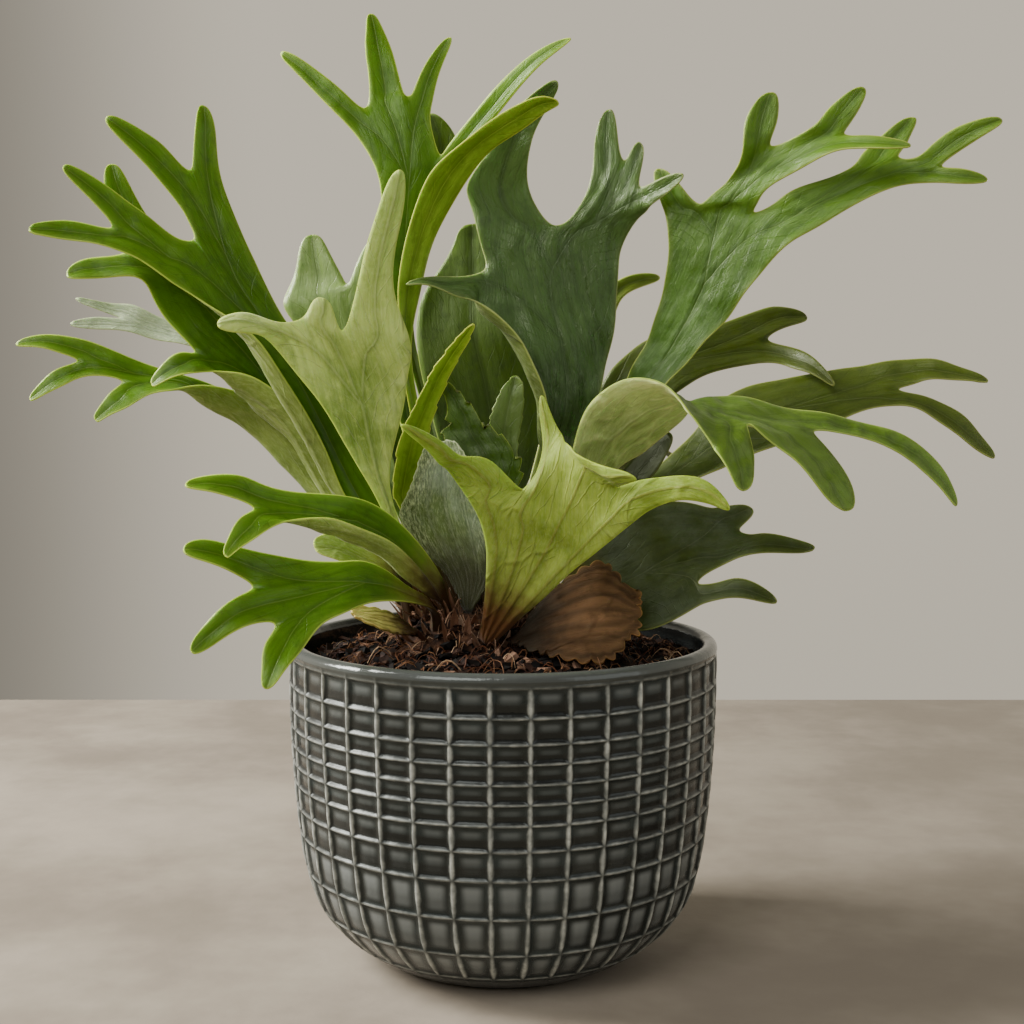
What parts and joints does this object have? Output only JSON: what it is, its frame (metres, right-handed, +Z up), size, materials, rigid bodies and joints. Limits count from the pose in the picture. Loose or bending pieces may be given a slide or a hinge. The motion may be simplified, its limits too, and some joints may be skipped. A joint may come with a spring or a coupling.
{
  "type": "staghorn fern",
  "caption": "Staghorn fern with forked antler fronds, growing from a brown rootstock in a round dark glazed pot with a raised grid.",
  "frame": {"origin": "middle of the pot's foot, on the surface that the pot stands on", "axes": "+Z up, -Y towards the front of the plant, +X to its right as seen from the front"},
  "size_m": [0.3955, 0.259, 0.39],
  "materials": {
    "pot_glaze": "dark grey gloss glaze that breaks pale on the raised ridges",
    "soil": "coarse dark bark and reddish coir",
    "rootstock": "brown scaly rhizome",
    "leaf_green": "satin mid green leaf with a paler margin",
    "leaf_deep": "satin dark blue green leaf",
    "leaf_olive": "satin olive green leaf",
    "leaf_pale": "matt yellow green felted underside",
    "leaf_felt": "grey green leaf under white felt",
    "shield_dry": "dry brown papery shield frond"
  },
  "bodies": {
    "root": {"pot": "pot_glaze", "soil": "soil", "rootstock": "rootstock", "frond_left_high": "leaf_green", "frond_left_behind": "leaf_green", "frond_left_low": "leaf_olive", "frond_left_inner": "leaf_pale", "frond_front_left_low": "leaf_green", "frond_front_left_high": "leaf_green", "frond_top_left": "leaf_green", "frond_top_strap": "leaf_green", "frond_centre_broad": "leaf_deep", "frond_right_high": "leaf_deep", "frond_right_back": "leaf_olive", "frond_right_level": "leaf_olive", "frond_right_arch": "leaf_pale", "frond_right_low": "leaf_olive", "frond_front": "leaf_pale", "frond_young_felted": "leaf_felt", "frond_young_strap": "leaf_green", "frond_young_jagged": "leaf_green", "frond_young_rounded": "leaf_green", "frond_back_broad": "leaf_deep", "frond_back_round": "leaf_green", "frond_back_tall": "leaf_olive", "frond_back_narrow": "leaf_olive", "frond_left_pale": "leaf_pale", "frond_right_inner": "leaf_olive", "frond_rear_left": "leaf_green", "frond_rear": "leaf_green", "frond_rear_right": "leaf_olive", "shield_brown": "shield_dry", "shield_green": "leaf_pale", "shield_left": "shield_dry"}
  },
  "joints": []
}
